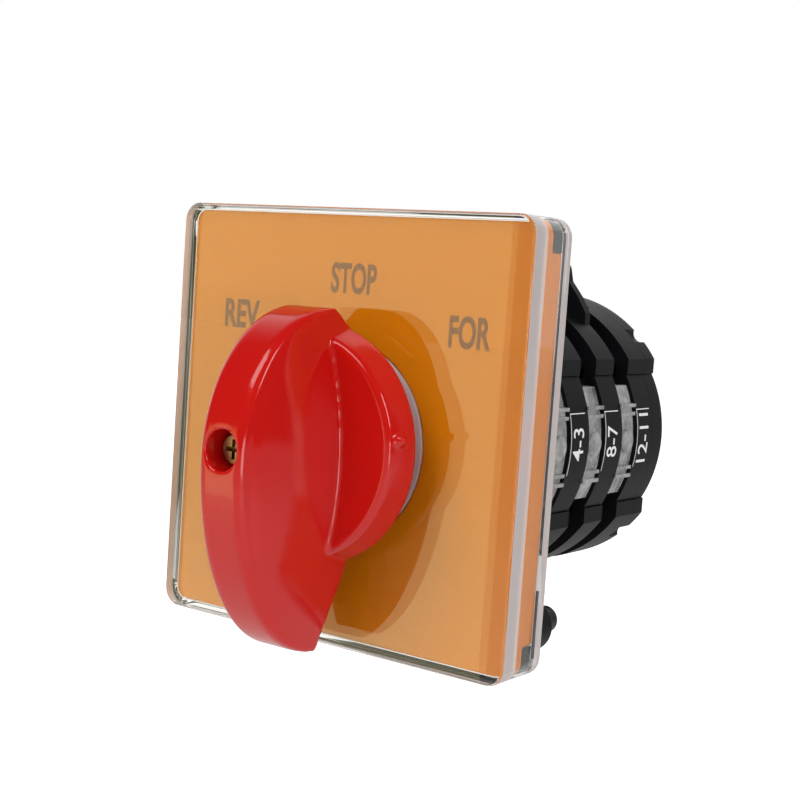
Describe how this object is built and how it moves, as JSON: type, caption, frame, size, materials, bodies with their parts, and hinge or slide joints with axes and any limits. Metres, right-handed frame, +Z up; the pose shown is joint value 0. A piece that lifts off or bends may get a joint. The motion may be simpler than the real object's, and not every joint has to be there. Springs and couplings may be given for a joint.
{
  "type": "reversing drum switch",
  "caption": "Panel-mounted reversing drum switch: square front plate, red paddle handle turning between three positions, and stacked contact decks behind.",
  "frame": {"origin": "switch axis at the panel plane, which is the rear face of the front frame", "axes": "+Y along the switch axis away from the handle, into the panel; +Z up; +X right as seen from the front"},
  "size_m": [0.064, 0.0878, 0.064],
  "materials": {
    "clear_plastic": "clear glossy acrylic",
    "orange_plastic": "satin",
    "black_plastic": "fine satin moulding",
    "grey_plastic": "satin",
    "red_plastic": "glossy",
    "white_plastic": "smooth",
    "window_plastic": "clear moulded",
    "plated_steel": "zinc plated",
    "yellow_zinc": "yellow zinc plated",
    "brass": "stamped strip",
    "copper": "stamped copper alloy"
  },
  "bodies": {
    "base": {"cover": "clear_plastic", "label_plate": "orange_plastic", "front_frame": "black_plastic", "collar": "grey_plastic", "mounting_studs": "plated_steel", "mounting_nuts": "black_plastic", "latch_plate": "black_plastic", "latch_housing": "black_plastic", "end_plate": "black_plastic", "tie_bolts": "plated_steel", "tie_nuts": "plated_steel", "deck_housing_1": "black_plastic", "deck_windows_1": "window_plastic", "fixed_contacts_1": "brass", "terminal_clamps_1": "plated_steel", "terminal_screws_1": "yellow_zinc", "deck_housing_2": "black_plastic", "deck_windows_2": "window_plastic", "fixed_contacts_2": "brass", "terminal_clamps_2": "plated_steel", "terminal_screws_2": "yellow_zinc", "deck_housing_3": "black_plastic", "deck_windows_3": "window_plastic", "fixed_contacts_3": "brass", "terminal_clamps_3": "plated_steel", "terminal_screws_3": "yellow_zinc"},
    "rotor": {"handle": "red_plastic", "handle_screw": "yellow_zinc", "shaft": "plated_steel", "star_wheel": "white_plastic", "cam_1": "white_plastic", "cam_2": "white_plastic", "cam_3": "white_plastic"},
    "detent_right_slider": {"detent_right": "plated_steel", "detent_spring_right": "plated_steel"},
    "detent_left_slider": {"detent_left": "plated_steel", "detent_spring_left": "plated_steel"},
    "contact_right_1_slider": {"plunger_right_1": "white_plastic", "bridge_right_1": "copper", "contact_spring_right_1": "plated_steel"},
    "contact_left_1_slider": {"plunger_left_1": "white_plastic", "bridge_left_1": "copper", "contact_spring_left_1": "plated_steel"},
    "contact_right_2_slider": {"plunger_right_2": "white_plastic", "bridge_right_2": "copper", "contact_spring_right_2": "plated_steel"},
    "contact_left_2_slider": {"plunger_left_2": "white_plastic", "bridge_left_2": "copper", "contact_spring_left_2": "plated_steel"},
    "contact_right_3_slider": {"plunger_right_3": "white_plastic", "bridge_right_3": "copper", "contact_spring_right_3": "plated_steel"},
    "contact_left_3_slider": {"plunger_left_3": "white_plastic", "bridge_left_3": "copper", "contact_spring_left_3": "plated_steel"}
  },
  "joints": [
    {"name": "handle_turn", "type": "hinge", "parent": "base", "child": "rotor", "pos_m": [0, 0, 0], "axis": [0, 1, 0], "range_deg": [-45, 45]},
    {"name": "detent_right_slide", "type": "slide", "parent": "base", "child": "detent_right_slider", "axis": [-1, 0, 0], "range_m": [0, 0.0009], "deforming": ["detent_spring_right"]},
    {"name": "detent_left_slide", "type": "slide", "parent": "base", "child": "detent_left_slider", "axis": [1, 0, 0], "range_m": [0, 0.0009], "deforming": ["detent_spring_left"]},
    {"name": "contact_right_1_slide", "type": "slide", "parent": "base", "child": "contact_right_1_slider", "axis": [1, 0, 0], "range_m": [-0.00095, 0.00095], "deforming": ["contact_spring_right_1"]},
    {"name": "contact_left_1_slide", "type": "slide", "parent": "base", "child": "contact_left_1_slider", "axis": [1, 0, 0], "range_m": [-0.00095, 0.00095], "deforming": ["contact_spring_left_1"]},
    {"name": "contact_right_2_slide", "type": "slide", "parent": "base", "child": "contact_right_2_slider", "axis": [1, 0, 0], "range_m": [-0.00095, 0.00095], "deforming": ["contact_spring_right_2"]},
    {"name": "contact_left_2_slide", "type": "slide", "parent": "base", "child": "contact_left_2_slider", "axis": [1, 0, 0], "range_m": [-0.00095, 0.00095], "deforming": ["contact_spring_left_2"]},
    {"name": "contact_right_3_slide", "type": "slide", "parent": "base", "child": "contact_right_3_slider", "axis": [1, 0, 0], "range_m": [-0.00095, 0.00095], "deforming": ["contact_spring_right_3"]},
    {"name": "contact_left_3_slide", "type": "slide", "parent": "base", "child": "contact_left_3_slider", "axis": [1, 0, 0], "range_m": [-0.00095, 0.00095], "deforming": ["contact_spring_left_3"]}
  ],
  "couplings": [
    {"joint": "contact_right_1_slide", "follows": "handle_turn", "m_per_rad": -0.0011459},
    {"joint": "contact_left_1_slide", "follows": "handle_turn", "m_per_rad": -0.0011459},
    {"joint": "contact_right_2_slide", "follows": "handle_turn", "m_per_rad": -0.0011459},
    {"joint": "contact_left_2_slide", "follows": "handle_turn", "m_per_rad": -0.0011459},
    {"joint": "contact_right_3_slide", "follows": "handle_turn", "m_per_rad": -0.0011459},
    {"joint": "contact_left_3_slide", "follows": "handle_turn", "m_per_rad": -0.0011459}
  ]
}
